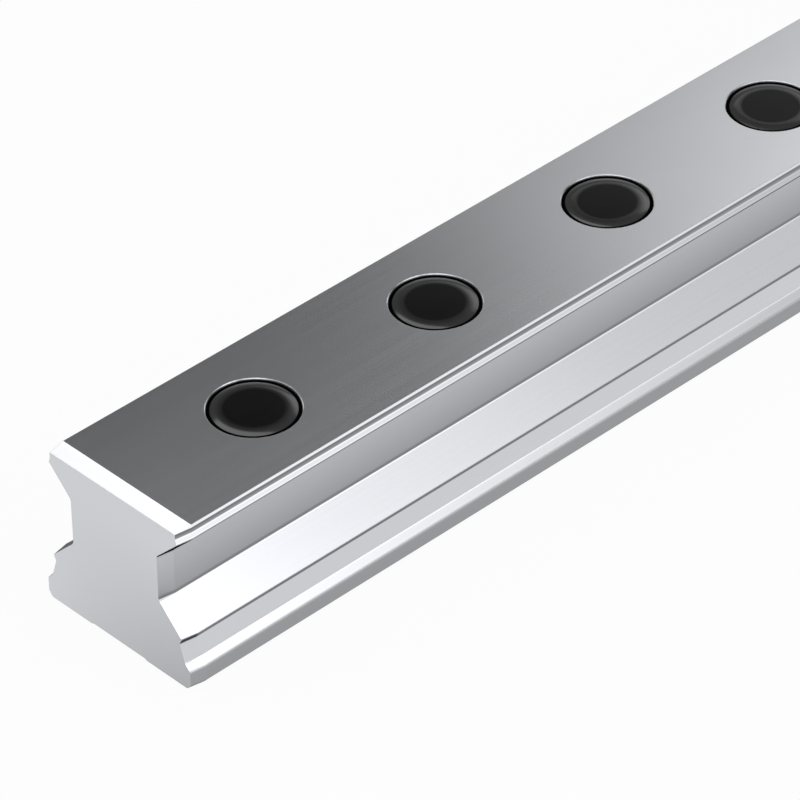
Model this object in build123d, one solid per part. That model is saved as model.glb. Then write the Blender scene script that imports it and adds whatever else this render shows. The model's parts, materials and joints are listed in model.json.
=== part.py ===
from build123d import *
from math import radians, tan
import os

# Roller guide rail with a plastic plug in each mounting hole
# X runs along the rail, Y across it and Z up from the mounting face
# The origin is in the middle of the mounting face, and sizes are in millimetres

# Length and row of holes
rail_length = 500.0
hole_pitch = 52.5
first_hole_distance = 39.4
shortest_end_distance = 20.0

# Foot and base, heights from the mounting face
base_width = 45.0
foot_chamfer_width = 0.9
foot_chamfer_height = 1.0
base_side_top = 4.9
shoulder_inset = 1.6
shoulder_top = 6.6
shoulder_fillet = 1.5

# Shallow relief along the middle of the mounting face
relief_width = 17.0
relief_depth = 0.3
relief_side_run = 0.6

# Lower raceway with its lip, and the waist
lip_width = 40.8
lip_height = 12.15
lip_undercut_run = 0.75
lip_undercut_drop = 1.45
waist_width = 27.3
waist_fillet = 1.0
raceway_angle = 45.0

# Head with the upper raceway, drops from the top of the rail
rail_height = 39.7
head_width = 40.1
head_widest_drop = 3.35
head_side_width = 39.2
head_side_drop = 1.8
top_width = 38.8
top_edge_drop = 0.6

# Tapered lead in at both ends
lead_in_length = 4.1
lead_in_depth = 0.6

# Metal under the mounting face that is ground away
grinding_allowance = 2.0

# Stepped mounting holes
bolt_hole_diameter = 14.0
counterbore_diameter = 20.0
counterbore_seat_height = 22.4
counterbore_edge = 0.3
bolt_hole_edge = 0.5

# Plastic hole plugs, pressed into the counterbores
plug_height = 4.6
plug_top_drop = 0.05
plug_clearance = 0.05
plug_edge_width = 0.4
plug_edge_height = 0.6
plug_disc_thickness = 1.6
plug_wall = 1.5
plug_lead_chamfer = 0.4


def hole_positions():
    """Places of the mounting holes along the rail, counted from the near end."""
    first = first_hole_distance - rail_length / 2
    room = rail_length - first_hole_distance - shortest_end_distance
    count = int(room // hole_pitch) + 1
    return [first + index * hole_pitch for index in range(count)]


def half_outline():
    """Outline of one half of the section, from below the foot up to the top."""
    slope = tan(radians(raceway_angle))
    waist_bottom = lip_height + (lip_width - waist_width) / 2 * slope
    head_widest = rail_height - head_widest_drop
    waist_top = head_widest - (head_width - waist_width) / 2 * slope
    foot_half = base_width / 2 - foot_chamfer_width
    allowance_run = grinding_allowance * foot_chamfer_width / foot_chamfer_height
    return [
        (foot_half - allowance_run, -grinding_allowance),
        (base_width / 2, foot_chamfer_height),
        (base_width / 2, base_side_top),
        (base_width / 2 - shoulder_inset, shoulder_top),
        (lip_width / 2 - lip_undercut_run, lip_height - lip_undercut_drop),
        (lip_width / 2, lip_height),
        (waist_width / 2, waist_bottom),
        (waist_width / 2, waist_top),
        (head_width / 2, head_widest),
        (head_side_width / 2, rail_height - head_side_drop),
        (head_side_width / 2, rail_height - top_edge_drop),
        (top_width / 2, rail_height),
    ]


def section():
    """Full section of the bar before its foot is ground, inner corners rounded."""
    right = half_outline()
    left = [(-y, z) for y, z in reversed(right)]
    outline = make_face(Polyline(*right, *left, close=True))
    for half_width, radius in (
        (waist_width / 2, waist_fillet),
        (base_width / 2 - shoulder_inset, shoulder_fillet),
    ):
        corners = [v for v in outline.vertices() if abs(abs(v.X) - half_width) < 1e-6]
        outline = fillet(corners, radius)
    return outline


def tapered_bar():
    """The bar with the tapered lead in at each end."""
    full = section()
    small = offset(full, -lead_in_depth, kind=Kind.INTERSECTION)
    end = rail_length / 2
    body_end = end - lead_in_length
    bar = extrude(Plane.YZ.offset(-body_end) * full, 2 * body_end)
    for side in (-1, 1):
        ends = [Plane.YZ.offset(side * body_end) * full, Plane.YZ.offset(side * end) * small]
        bar += loft(ends, ruled=True)
    return bar


def foot_cutter():
    """What grinding takes off under the mounting face, with its shallow relief."""
    relief = relief_width / 2
    outline = Polyline(
        (-base_width, 0),
        (-relief, 0),
        (-relief + relief_side_run, relief_depth),
        (relief - relief_side_run, relief_depth),
        (relief, 0),
        (base_width, 0),
        (base_width, -2 * grinding_allowance),
        (-base_width, -2 * grinding_allowance),
        close=True,
    )
    return extrude(Plane.YZ.offset(-rail_length) * make_face(outline), 2 * rail_length)


def hole_cutter():
    """Turned tool for one mounting hole, standing on the mounting face."""
    bolt = bolt_hole_diameter / 2
    bore = counterbore_diameter / 2
    outline = Polyline(
        (0, 0),
        (bolt + bolt_hole_edge + relief_depth, 0),
        (bolt, relief_depth + bolt_hole_edge),
        (bolt, counterbore_seat_height),
        (bore, counterbore_seat_height),
        (bore, rail_height - counterbore_edge),
        (bore + counterbore_edge, rail_height),
        (0, rail_height),
        close=True,
    )
    return revolve(Plane.XZ * make_face(outline), Axis.Z)


def rail():
    """The ground steel bar with its tapered ends and its row of holes."""
    bar = tapered_bar() - foot_cutter()
    cutter = hole_cutter()
    for x in hole_positions():
        bar -= Pos(x, 0, 0) * cutter
    return bar


def plug():
    """One hollow plug, its top just below the top of the rail."""
    side = counterbore_diameter / 2 - plug_clearance
    hollow = side - plug_wall
    top = rail_height - plug_top_drop
    bottom = top - plug_height
    under_disc = top - plug_disc_thickness
    outline = Polyline(
        (0, top),
        (side - plug_edge_width, top),
        (side, top - plug_edge_height),
        (side, bottom + plug_lead_chamfer),
        (side - plug_lead_chamfer, bottom),
        (hollow, bottom),
        (hollow, under_disc),
        (0, under_disc),
        close=True,
    )
    return revolve(Plane.XZ * make_face(outline), Axis.Z)


os.makedirs("parts", exist_ok=True)
export_step(rail(), "parts/rail.step")
for number, x in enumerate(hole_positions(), start=1):
    export_step(Pos(x, 0, 0) * plug(), f"parts/plug_{number:02d}.step")
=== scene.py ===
import json
from math import cos, pi, radians, sin, sqrt

import bpy
from mathutils import Matrix, Vector

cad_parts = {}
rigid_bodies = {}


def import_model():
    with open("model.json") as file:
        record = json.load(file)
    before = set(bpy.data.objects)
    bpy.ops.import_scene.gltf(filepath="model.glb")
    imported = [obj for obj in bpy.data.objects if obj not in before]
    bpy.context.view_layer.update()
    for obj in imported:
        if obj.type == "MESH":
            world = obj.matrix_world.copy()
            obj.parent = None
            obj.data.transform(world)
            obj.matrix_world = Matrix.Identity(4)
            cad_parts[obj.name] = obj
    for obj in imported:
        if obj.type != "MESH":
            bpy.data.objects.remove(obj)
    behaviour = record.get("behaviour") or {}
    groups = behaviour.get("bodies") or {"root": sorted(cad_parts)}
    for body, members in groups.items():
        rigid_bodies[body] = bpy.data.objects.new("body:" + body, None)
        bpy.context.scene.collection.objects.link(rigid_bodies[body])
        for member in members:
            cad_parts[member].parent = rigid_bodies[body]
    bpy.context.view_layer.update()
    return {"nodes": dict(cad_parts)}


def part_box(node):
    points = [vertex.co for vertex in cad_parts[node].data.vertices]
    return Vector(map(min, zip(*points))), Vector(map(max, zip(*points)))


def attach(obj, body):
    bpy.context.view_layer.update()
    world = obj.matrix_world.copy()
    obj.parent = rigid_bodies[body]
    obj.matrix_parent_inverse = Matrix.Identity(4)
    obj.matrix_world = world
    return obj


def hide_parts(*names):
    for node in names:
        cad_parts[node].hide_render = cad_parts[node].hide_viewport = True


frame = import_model()

MM = 0.001

# Places that are read from the solids
rail_low, rail_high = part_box("rail")
rail_height = rail_high.z
near_end = rail_low.x
plug_low, plug_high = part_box("plug_01")
second_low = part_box("plug_02")[0]
first_plug = (plug_low.x + plug_high.x) / 2
plug_pitch = second_low.x - plug_low.x
plug_side = (plug_high.x - plug_low.x) / 2

# Camera, measured from the rail's near end in metres and degrees
look_at = Vector((near_end + 0.0812, 0.0, 0.0193))
camera_distance = 1.102
camera_azimuth = -43.85
camera_elevation = 37.21
camera_roll = -0.63
photo_width = 800
focal_pixels = 5171
sensor_width = 36.0

# Softboxes: place of the middle, direction, width and height in metres, and radiance
down = (0, 0, -1)
back = (0, 1, 0)
softboxes = {
    "overhead softbox": ((-0.40, 0.14, 1.25), down, 1.6, 2.12, 1.12),
    "right softbox": ((1.175, 1.10, 1.25), down, 0.17, 1.0, 0.58),
    "right far softbox": ((1.695, 1.10, 1.25), down, 0.87, 1.0, 0.83),
    "front softbox": ((0.19, -1.05, 0.84), back, 0.86, 0.95, 1.34),
    "front middle softbox": ((0.73, -1.05, 0.84), back, 0.22, 0.95, 0.82),
    "front far softbox": ((1.21, -1.05, 0.84), back, 0.74, 0.95, 0.48),
}

# Room: heights on the unit sphere where the white horizon ends and the grey ceiling begins
horizon_top = 0.10
ceiling_foot = 0.40
ceiling_grey = 0.19

# Floor: how much of it shows as plain white, to the camera and in reflections
floor_size = 12.0
floor_grey = 0.85
white_to_camera = 0.95
white_in_shine = 0.8
shine_strength = 1.10

# Finish of each band of the section, from the foot up: height of its top in millimetres,
# brightness at its foot and at its top, and roughness. The brightness is partly the steel's finish
# and partly painted light: bright bands carry painted highlights, and the dark bands and the
# gradients within bands are painted shade
section_finish_and_painted_light = [
    (4.3, 0.315, 0.315, 0.30),
    (5.1, 0.33, 0.58, 0.30),
    (6.6, 0.77, 0.77, 0.18),
    (10.7, 0.62, 0.62, 0.30),
    (12.15, 0.20, 0.22, 0.45),
    (18.9, 0.80, 0.80, 0.16),
    (19.7, 0.20, 0.31, 0.40),
    (29.95, 0.375, 0.49, 0.40),
    (36.2, 0.50, 0.50, 0.30),
    (36.65, 0.20, 0.24, 0.40),
    (36.95, 0.92, 0.92, 0.22),
    (37.6, 0.80, 0.80, 0.22),
    (37.9, 0.98, 0.98, 0.22),
    (39.1, 0.32, 0.14, 0.30),
    (39.65, 0.97, 0.97, 0.22),
    (39.8, 0.605, 0.605, 0.14),
]
band_edge = 0.04
steel_tint = (0.975, 0.995, 1.035)

# Heights between which the finish leaves that of its band
leaning_foot = 6.6 * MM
waist_foot = 19.3 * MM
waist_top = 29.95 * MM
slope_foot = 36.3 * MM
slope_top = 37.9 * MM
top_edge_foot = 39.1 * MM
top_foot = 39.65 * MM

# Reach of the tapers, the end faces and the counterbores, and how far the head's painted shine fades
taper_length = 4.1 * MM
end_face_depth = 0.05 * MM
bore_radius = 10.13 * MM
painted_fade_length = 190 * MM

# Painted light and shade there: a gain for the painted highlight on the tapers, pairs from the near
# end or side to the far one for the painted shine that fades and the painted shade of the top's far
# side, and plain levels of painted highlight and painted shade
taper_highlight_gain = 1.12
taper_highlight_cap = 0.9
slope_painted_fade = (1.15, 0.62)
edge_painted_fade = (0.95, 0.74)
top_painted_shade = (1.03, 0.72)
crest_painted_highlight = 0.97
bore_painted_shade = 0.12
wedge_painted_shade = 0.015

# End faces: brightness from their upper far corner to their lower near one, a painted shade that
# darkens towards the lower near corner
end_painted_shade_levels = (0.61, 0.40)
end_painted_shade_top = 0.85 * rail_height
end_roughness = 0.24

# Grinding lines and marks of handling, in cycles a metre along each axis
fine_lines = (9.0, 1900.0, 1900.0)
broad_lines = (4.0, 600.0, 600.0)
end_lines = (1900.0, 25.0, 1500.0)
handling_marks = (22.0, 40.0, 40.0)

# What they do to the steel: shares of the two kinds of line, the range of the lines on the
# end faces, and how far brightness and roughness vary
fine_share = 0.6
broad_share = 0.4
noise_range = (0.3, 0.7)
end_line_range = (0.42, 0.58)
line_shades = (0.988, 1.012)
line_roughness = (-0.008, 0.008)
handling_roughness = (-0.01, 0.01)
edge_rounding = 0.12 * MM
line_strength = 0.06
line_depth = 0.01 * MM

# Plug shape
plug_segments = 96
crown_width = 2.4 * MM
crown_drop = 0.31 * MM
crown_steps = 6
rim_width = 0.68 * MM
rim_height = 1.0 * MM
plug_disc = 1.6 * MM
plug_wall = 1.5 * MM
lead_chamfer = 0.4 * MM
smooth_angle = 25

# Plug plastic: where its ring of painted sheen begins, is full and ends at the rim that is painted
# black as shade, its levels, and its grain
sheen_start = plug_side - 3.6 * MM
sheen_full = plug_side - 1.6 * MM
painted_black_rim = plug_side - 1.1 * rim_width
sheen_brightness = 0.018
middle_black = (0.003, 0.005)
middle_gloss = 0.10
middle_roughness = 0.22
crown_roughness = (0.11, 0.15)
plastic_ior = 1.5
grain_cycles = (2600.0, 2600.0, 2600.0)
flow_cycles = (160.0, 160.0, 160.0)
grain_strength = 0.05
grain_depth = 0.02 * MM


def deselect():
    """Leave nothing selected, so that an operator acts on one piece alone."""
    for thing in bpy.context.view_layer.objects:
        thing.select_set(False)


def place_camera():
    """Stand the camera where the photo was taken from."""
    azimuth, elevation = radians(camera_azimuth), radians(camera_elevation)
    level = cos(elevation)
    away = Vector((sin(azimuth) * level, -cos(azimuth) * level, sin(elevation)))
    right = Vector((cos(azimuth), sin(azimuth), 0.0))
    up = away.cross(right)
    turn = Matrix.Rotation(radians(camera_roll), 3, away)
    right, up = turn @ right, turn @ up
    data = bpy.data.cameras.new("camera")
    data.sensor_width = sensor_width
    data.lens = focal_pixels / photo_width * sensor_width
    data.clip_start = 0.05
    data.clip_end = 20.0
    camera = bpy.data.objects.new("camera", data)
    axes = Matrix((right, up, away)).transposed()
    camera.matrix_world = Matrix.Translation(look_at + away * camera_distance) @ axes.to_4x4()
    bpy.context.scene.collection.objects.link(camera)
    bpy.context.scene.camera = camera


class Finish:
    """A node material under construction, with short words for its common nodes."""

    def __init__(self, name):
        self.material = bpy.data.materials.new(name)
        self.material.use_nodes = True
        self.nodes = self.material.node_tree.nodes
        self.links = self.material.node_tree.links
        self.nodes.clear()
        self.output = self.add("ShaderNodeOutputMaterial")

    def add(self, kind, **settings):
        """Add a node and set its properties by name."""
        node = self.nodes.new(kind)
        for key, value in settings.items():
            setattr(node, key, value)
        return node

    def feed(self, node, socket, value):
        """Set a socket to a number or colour, or link another node's output to it."""
        target = node.inputs[socket]
        if isinstance(value, bpy.types.NodeSocket):
            self.links.new(value, target)
        else:
            target.default_value = value

    def math(self, operation, a, b=0.0, clamp=False):
        """One sum, product or comparison of two values."""
        node = self.add("ShaderNodeMath", operation=operation, use_clamp=clamp)
        self.feed(node, 0, a)
        self.feed(node, 1, b)
        return node.outputs[0]

    def times(self, a, b):
        """The product of two values."""
        return self.math("MULTIPLY", a, b)

    def above(self, value, limit):
        """1 where a value is above a limit, and 0 elsewhere."""
        return self.math("GREATER_THAN", value, limit)

    def below(self, value, limit):
        """1 where a value is below a limit, and 0 elsewhere."""
        return self.math("LESS_THAN", value, limit)

    def between(self, value, low, high):
        """1 where a value lies between two limits, and 0 elsewhere."""
        return self.times(self.above(value, low), self.below(value, high))

    def span(self, value, low, high, to_low, to_high):
        """Carry a value from one range into another, held at both ends."""
        node = self.add("ShaderNodeMapRange")
        for socket, number in enumerate((value, low, high, to_low, to_high)):
            self.feed(node, socket, number)
        return node.outputs[0]

    def varied(self, noise, to_low, to_high):
        """Carry the range that a noise mostly keeps to into another one."""
        return self.span(noise, *noise_range, to_low, to_high)

    def blend(self, share, a, b):
        """A number that goes from a to b as share goes from 0 to 1."""
        node = self.add("ShaderNodeMix", data_type="FLOAT")
        self.feed(node, 0, share)
        self.feed(node, 2, a)
        self.feed(node, 3, b)
        return node.outputs[0]

    def tinted(self, value, tint=(1.0, 1.0, 1.0)):
        """A colour of that brightness, leaning towards the tint."""
        node = self.add("ShaderNodeCombineColor")
        for socket, share in enumerate(tint):
            self.feed(node, socket, self.times(value, share))
        return node.outputs[0]

    def object_axes(self):
        """Object coordinates as one vector, and then one by one."""
        place = self.add("ShaderNodeTexCoord").outputs["Object"]
        split = self.add("ShaderNodeSeparateXYZ")
        self.feed(split, 0, place)
        return place, split.outputs[0], split.outputs[1], split.outputs[2]

    def stretched_noise(self, place, cycles, detail):
        """Noise from 0 to 1 with its own number of cycles a metre along each axis."""
        mapping = self.add("ShaderNodeMapping")
        self.feed(mapping, "Vector", place)
        self.feed(mapping, "Scale", cycles)
        noise = self.add("ShaderNodeTexNoise")
        self.feed(noise, "Vector", mapping.outputs[0])
        self.feed(noise, "Scale", 1.0)
        self.feed(noise, "Detail", detail)
        return noise.outputs[0]

    def radius_from_hole(self, x, y):
        """Distance from the axis of the nearest mounting hole."""
        along = self.add("ShaderNodeMath", operation="WRAP")
        self.feed(along, 0, self.math("SUBTRACT", x, first_plug))
        self.feed(along, 1, plug_pitch / 2)
        self.feed(along, 2, -plug_pitch / 2)
        along_squared = self.math("POWER", along.outputs[0], 2.0)
        across_squared = self.math("POWER", y, 2.0)
        return self.math("SQRT", self.math("ADD", along_squared, across_squared))

    def bump(self, height, strength, depth):
        """A bump of that height, strength and depth."""
        node = self.add("ShaderNodeBump")
        self.feed(node, "Strength", strength)
        self.feed(node, "Distance", depth)
        self.feed(node, "Height", height)
        return node


def band_ramp(finish, height, at_foot, at_top):
    """The bands' brightness or roughness as a ramp over the height."""
    ramp = finish.add("ShaderNodeValToRGB")
    full = section_finish_and_painted_light[-1][0]
    finish.feed(ramp, 0, finish.math("DIVIDE", height, full * MM))
    stops = []
    foot = 0.0
    for band in section_finish_and_painted_light:
        stops.append((foot + band_edge, band[at_foot]))
        stops.append((band[0] - band_edge, band[at_top]))
        foot = band[0]
    elements = ramp.color_ramp.elements
    elements.remove(elements[1])
    elements[0].position = 0.0
    for number, (place, value) in enumerate(stops):
        stop = elements.new(place / full) if number else elements[0]
        stop.color = (value, value, value, 1)
    return ramp.outputs[0]


def ground_steel():
    """Ground and drawn steel: a finish for each band of the section, partly painted light and shade,
    with lines along the rail.
    """
    steel = Finish("ground steel")
    place, x, y, z = steel.object_axes()
    # The bands' brightness carries their painted light and shade
    brightness = band_ramp(steel, z, 1, 2)
    roughness = band_ramp(steel, z, 3, 3)

    # The tapers up to the waist carry a painted highlight, a little brighter than the bar, but for
    # the leaning sides
    from_end = steel.math("SUBTRACT", -near_end, steel.math("ABSOLUTE", x))
    end = steel.below(from_end, end_face_depth)
    taper = steel.math("SUBTRACT", steel.below(from_end, taper_length), end)
    lead_in_highlight = steel.times(taper, steel.below(z, waist_top))
    highlight_gain = steel.blend(steel.between(z, leaning_foot, waist_foot), taper_highlight_gain, 1.0)
    painted_highlight = steel.math("MINIMUM", steel.times(brightness, highlight_gain), taper_highlight_cap)
    brightness = steel.blend(lead_in_highlight, brightness, painted_highlight)

    # The head's slope carries a painted shine that fades away from the near end, and so do the
    # bevels of its top
    for foot, top, painted_fade in (
        (slope_foot, slope_top, slope_painted_fade),
        (top_edge_foot, top_foot, edge_painted_fade),
    ):
        painted_light_gain = steel.span(x, near_end, near_end + painted_fade_length, *painted_fade)
        painted_light_gain = steel.blend(steel.between(z, foot, top), 1.0, painted_light_gain)
        brightness = steel.times(brightness, painted_light_gain)

    # The top carries painted shade, a little darker towards its far side
    painted_light_gain = steel.span(y, rail_low.y, rail_high.y, *top_painted_shade)
    brightness = steel.times(brightness, steel.blend(steel.above(z, top_foot), 1.0, painted_light_gain))

    # The slopes that run down from the top to the ends are painted bright all over, a painted
    # highlight
    painted_crest = steel.times(taper, steel.above(z, top_edge_foot))
    brightness = steel.blend(painted_crest, brightness, crest_painted_highlight)

    # The bored walls of the counterbores are painted dark, a painted shade
    painted_bore_shade = steel.below(steel.radius_from_hole(x, y), bore_radius)
    painted_bore_shade = steel.times(painted_bore_shade, steel.above(z, waist_top))
    brightness = steel.blend(painted_bore_shade, brightness, bore_painted_shade)

    # The end faces carry painted shade, darker towards their lower near corner
    low = steel.span(z, 0.0, end_painted_shade_top, 1.0, 0.0)
    near = steel.span(y, rail_low.y, rail_high.y, 1.0, 0.0)
    painted_end_shade = steel.span(steel.times(low, near), 0.0, 1.0, *end_painted_shade_levels)
    brightness = steel.blend(end, brightness, painted_end_shade)
    roughness = steel.blend(end, roughness, end_roughness)

    # Grinding lines run along the rail, and fainter ones across its end faces
    fine = steel.stretched_noise(place, fine_lines, detail=0.0)
    broad = steel.stretched_noise(place, broad_lines, detail=1.0)
    across = steel.stretched_noise(place, end_lines, detail=0.0)
    across = steel.span(across, 0.0, 1.0, *end_line_range)
    lines = steel.math("ADD", steel.times(fine, fine_share), steel.times(broad, broad_share))
    lines = steel.blend(end, lines, across)
    handling = steel.stretched_noise(place, handling_marks, detail=3.0)
    brightness = steel.times(brightness, steel.varied(lines, *line_shades))
    roughness = steel.math("ADD", roughness, steel.varied(handling, *handling_roughness))
    roughness = steel.math("ADD", roughness, steel.varied(lines, *line_roughness))

    # Over the lead in the upper raceway the steel is painted black and not metallic, a painted shade
    painted_black_wedge = steel.times(taper, steel.between(z, waist_top, slope_foot))
    brightness = steel.blend(painted_black_wedge, brightness, wedge_painted_shade)

    rounded = steel.add("ShaderNodeBevel", samples=6)
    steel.feed(rounded, "Radius", edge_rounding)
    bump = steel.bump(lines, steel.blend(end, line_strength, 0.0), line_depth)
    steel.feed(bump, "Normal", rounded.outputs[0])

    shader = steel.add("ShaderNodeBsdfPrincipled")
    steel.feed(shader, "Metallic", steel.blend(painted_black_wedge, 1.0, 0.0))
    steel.feed(shader, "Specular IOR Level", 0.0)
    steel.feed(shader, "Specular Tint", steel.tinted(steel.blend(lead_in_highlight, 1.0, 0.0)))
    steel.feed(shader, "Base Color", steel.tinted(brightness, steel_tint))
    steel.feed(shader, "Roughness", roughness)
    steel.feed(shader, "Normal", bump.outputs[0])
    steel.feed(steel.output, "Surface", shader.outputs[0])
    return steel.material


def plug_plastic():
    """Black moulded plastic: dull in the middle, with a painted sheen on the crown, and a rim
    painted black as shade.
    """
    plastic = Finish("black plug plastic")
    place, x, y, z = plastic.object_axes()
    grain = plastic.stretched_noise(place, grain_cycles, detail=2.0)
    flow = plastic.stretched_noise(place, flow_cycles, detail=3.0)
    radius = plastic.radius_from_hole(x, y)
    # Inside the rim the crown has a ring of painted sheen, lighter and glossier; outside it the rim
    # reflects nothing, a painted black shade
    inside = plastic.below(radius, painted_black_rim)
    painted_sheen = plastic.times(plastic.span(radius, sheen_start, sheen_full, 0.0, 1.0), inside)
    brightness = plastic.blend(painted_sheen, plastic.varied(flow, *middle_black), sheen_brightness)
    painted_gloss = plastic.times(inside, plastic.blend(painted_sheen, middle_gloss, 1.0))
    roughness = plastic.blend(painted_sheen, middle_roughness, plastic.varied(flow, *crown_roughness))
    bump = plastic.bump(grain, grain_strength, grain_depth)
    shader = plastic.add("ShaderNodeBsdfPrincipled")
    plastic.feed(shader, "Base Color", plastic.tinted(brightness))
    plastic.feed(shader, "Specular IOR Level", painted_gloss)
    plastic.feed(shader, "Roughness", roughness)
    plastic.feed(shader, "IOR", plastic_ior)
    plastic.feed(shader, "Normal", bump.outputs[0])
    plastic.feed(plastic.output, "Surface", shader.outputs[0])
    return plastic.material


def plug_profile(side, top, bottom):
    """Radius and height of a plug's ceiling, and of each ring from its hollow up to its middle."""
    hollow = side - plug_wall
    ceiling = top - plug_disc
    rings = [
        (hollow, bottom),
        (side - lead_chamfer, bottom),
        (side, bottom + lead_chamfer),
        (side, top - crown_drop - rim_height),
        (side - rim_width, top - crown_drop),
    ]
    crown_radius = (crown_width**2 + crown_drop**2) / (2 * crown_drop)
    for step in range(crown_steps - 1, -1, -1):
        out = crown_width * step / crown_steps
        drop = crown_radius - sqrt(crown_radius**2 - out**2)
        rings.append((side - rim_width - crown_width + out, top - drop))
    return (hollow, ceiling), rings


def make_plug(number, node, material):
    """One crowned plug, drawn ring by ring from its ceiling, in the place of its solid."""
    low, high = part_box(node)
    centre = (low + high) / 2
    side = (high.x - low.x) / 2
    (radius, height), rings = plug_profile(side, high.z, low.z)
    deselect()
    bpy.ops.mesh.primitive_circle_add(
        vertices=plug_segments,
        radius=radius,
        fill_type="NGON",
        location=(centre.x, centre.y, height),
    )
    plug = bpy.context.object
    plug.name = plug.data.name = f"hole_plug_{number:02d}"
    bpy.ops.object.mode_set(mode="EDIT")
    bpy.ops.mesh.select_all(action="SELECT")
    for next_radius, next_height in rings:
        bpy.ops.mesh.extrude_region_move(
            TRANSFORM_OT_translate={"value": (0, 0, next_height - height)}
        )
        share = next_radius / radius
        bpy.ops.transform.resize(
            value=(share, share, 1), center_override=(centre.x, centre.y, next_height)
        )
        radius, height = next_radius, next_height
    bpy.ops.mesh.select_all(action="SELECT")
    bpy.ops.mesh.normals_make_consistent(inside=False)
    bpy.ops.object.mode_set(mode="OBJECT")
    bpy.ops.object.transform_apply(location=True, rotation=True, scale=True)
    bpy.ops.object.shade_smooth_by_angle(angle=radians(smooth_angle))
    plug.data.materials.append(material)
    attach(plug, "root")
    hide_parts(node)


def hang_softbox(name, place, facing, width, height, radiance):
    """A rectangular lamp that shows its brightness in the steel but not to the camera."""
    data = bpy.data.lights.new(name, "AREA")
    data.shape = "RECTANGLE"
    data.size = width
    data.size_y = height
    data.energy = radiance * pi * width * height
    lamp = bpy.data.objects.new(name, data)
    lamp.location = place
    lamp.rotation_euler = Vector(facing).to_track_quat("-Z", "Y").to_euler()
    lamp.visible_camera = False
    bpy.context.scene.collection.objects.link(lamp)


def light_studio():
    """A white horizon under a grey ceiling, with softboxes overhead, to the right and in front."""
    world = bpy.data.worlds.new("studio")
    bpy.context.scene.world = world
    world.use_nodes = True
    nodes, links = world.node_tree.nodes, world.node_tree.links
    nodes.clear()
    direction = nodes.new("ShaderNodeTexCoord")
    split = nodes.new("ShaderNodeSeparateXYZ")
    ramp = nodes.new("ShaderNodeValToRGB")
    background = nodes.new("ShaderNodeBackground")
    output = nodes.new("ShaderNodeOutputWorld")
    links.new(direction.outputs["Generated"], split.inputs[0])
    links.new(split.outputs[2], ramp.inputs[0])
    links.new(ramp.outputs[0], background.inputs[0])
    links.new(background.outputs[0], output.inputs[0])
    horizon, ceiling = ramp.color_ramp.elements
    horizon.position = horizon_top
    horizon.color = (1, 1, 1, 1)
    ceiling.position = ceiling_foot
    ceiling.color = (ceiling_grey, ceiling_grey, ceiling_grey, 1)
    for name, settings in softboxes.items():
        hang_softbox(name, *settings)


def lay_floor():
    """A pale floor, shown as white to the camera and in the steel, which keeps a faint shadow."""
    deselect()
    bpy.ops.mesh.primitive_plane_add(size=floor_size, location=(0, 0, 0))
    floor = bpy.context.object
    floor.name = "floor"
    paper = Finish("white floor")
    rays = paper.add("ShaderNodeLightPath")
    glossy = rays.outputs["Is Glossy Ray"]
    seen = paper.math("MAXIMUM", rays.outputs["Is Camera Ray"], rays.outputs["Is Transmission Ray"])
    seen = paper.times(seen, white_to_camera)
    seen = paper.math("ADD", seen, paper.times(glossy, white_in_shine), clamp=True)
    lit = paper.add("ShaderNodeBsdfDiffuse")
    paper.feed(lit, "Color", (floor_grey, floor_grey, floor_grey, 1))
    white = paper.add("ShaderNodeEmission")
    paper.feed(white, "Strength", paper.span(glossy, 0.0, 1.0, 1.0, shine_strength))
    shown = paper.add("ShaderNodeMixShader")
    paper.feed(shown, 0, seen)
    paper.feed(shown, 1, lit.outputs[0])
    paper.feed(shown, 2, white.outputs[0])
    paper.feed(paper.output, "Surface", shown.outputs[0])
    floor.data.materials.append(paper.material)


place_camera()
light_studio()
lay_floor()
frame["nodes"]["rail"].material_slots[0].material = ground_steel()
plastic = plug_plastic()
plug_nodes = sorted(name for name in frame["nodes"] if name.startswith("plug_"))
for number, node in enumerate(plug_nodes, start=1):
    make_plug(number, node, plastic)
bpy.context.scene.view_settings.view_transform = "Standard"
